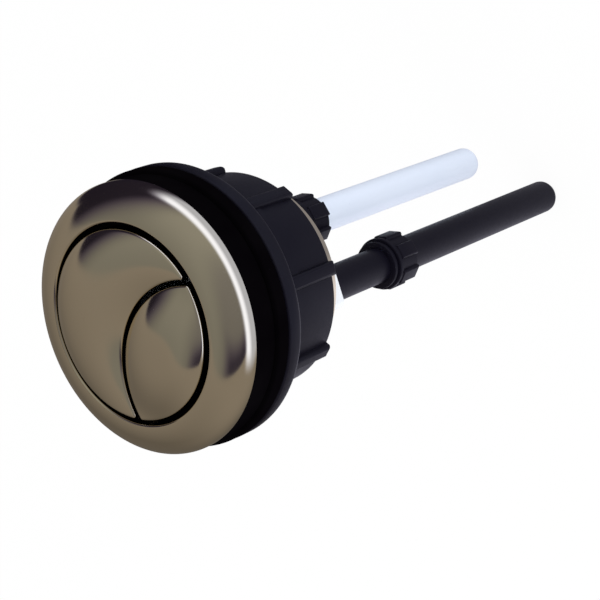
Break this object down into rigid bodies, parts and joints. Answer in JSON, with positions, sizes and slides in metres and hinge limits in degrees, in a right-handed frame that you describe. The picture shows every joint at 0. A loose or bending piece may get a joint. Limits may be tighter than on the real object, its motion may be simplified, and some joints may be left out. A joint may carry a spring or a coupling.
{
  "type": "push button cistern actuator",
  "caption": "Round dual-flush cistern push button: domed bezel, crescent and lens caps, threaded barrel with rubber washers and ribbed fixing nut, and adjustable push rods.",
  "frame": {"origin": "on the barrel's axis at the top of the cistern lid, under the upper washer", "axes": "+Z out of the button face along the barrel's axis, +X towards the full-flush button"},
  "size_m": [0.0622, 0.0622, 0.1598],
  "materials": {
    "champagne_plating": "satin champagne nickel plate on moulded plastic",
    "black_rubber": "smooth black rubber",
    "black_plastic": "moulded black plastic",
    "white_plastic": "moulded white plastic",
    "white_rod": "smooth cool white plastic",
    "spring_steel": "bright spring steel"
  },
  "bodies": {
    "housing": {"bezel_body": "champagne_plating", "upper_washer": "black_rubber", "guide_insert": "white_plastic"},
    "clamp_ring": {"lower_washer": "black_rubber"},
    "nut": {"fixing_nut": "black_plastic"},
    "full_flush_button": {"full_flush_cap": "champagne_plating", "full_flush_plunger": "white_plastic", "full_flush_retaining_clip": "spring_steel", "full_flush_return_spring": "spring_steel"},
    "full_flush_rod": {"full_flush_push_rod": "white_rod", "full_flush_lock_collar": "black_plastic"},
    "full_flush_lock": {"full_flush_lock_nut": "black_plastic"},
    "half_flush_button": {"half_flush_cap": "champagne_plating", "half_flush_plunger": "white_plastic", "half_flush_retaining_clip": "spring_steel", "half_flush_return_spring": "spring_steel"},
    "half_flush_rod": {"half_flush_push_rod": "black_plastic", "half_flush_lock_collar": "black_plastic"},
    "half_flush_lock": {"half_flush_lock_nut": "black_plastic"}
  },
  "joints": [
    {"name": "clamp_slide", "type": "slide", "parent": "housing", "child": "clamp_ring", "axis": [0, 0, 1], "range_m": [-0.012, 0]},
    {"name": "nut_turn", "type": "hinge", "parent": "clamp_ring", "child": "nut", "pos_m": [0, 0, -0.015], "axis": [0, 0, 1], "range_deg": [-1440, 0]},
    {"name": "full_flush_press", "type": "slide", "parent": "housing", "child": "full_flush_button", "axis": [0, 0, 1], "range_m": [-0.005, 0], "stiffness_N_per_m": 400, "springref_m": 0.0075, "deforming": ["full_flush_return_spring"]},
    {"name": "full_flush_rod_slide", "type": "slide", "parent": "full_flush_button", "child": "full_flush_rod", "axis": [0, 0, 1], "range_m": [-0.01, 0.005]},
    {"name": "full_flush_lock_turn", "type": "hinge", "parent": "full_flush_rod", "child": "full_flush_lock", "pos_m": [0.01066, 0, -0.065], "axis": [0, 0, 1], "continuous": true},
    {"name": "half_flush_press", "type": "slide", "parent": "housing", "child": "half_flush_button", "axis": [0, 0, 1], "range_m": [-0.005, 0], "stiffness_N_per_m": 400, "springref_m": 0.0075, "deforming": ["half_flush_return_spring"]},
    {"name": "half_flush_rod_slide", "type": "slide", "parent": "half_flush_button", "child": "half_flush_rod", "axis": [0, 0, 1], "range_m": [-0.01, 0.015]},
    {"name": "half_flush_lock_turn", "type": "hinge", "parent": "half_flush_rod", "child": "half_flush_lock", "pos_m": [-0.01066, 0, -0.065], "axis": [0, 0, 1], "continuous": true}
  ],
  "couplings": [
    {"joint": "clamp_slide", "follows": "nut_turn", "m_per_rad": 0.00047746}
  ]
}
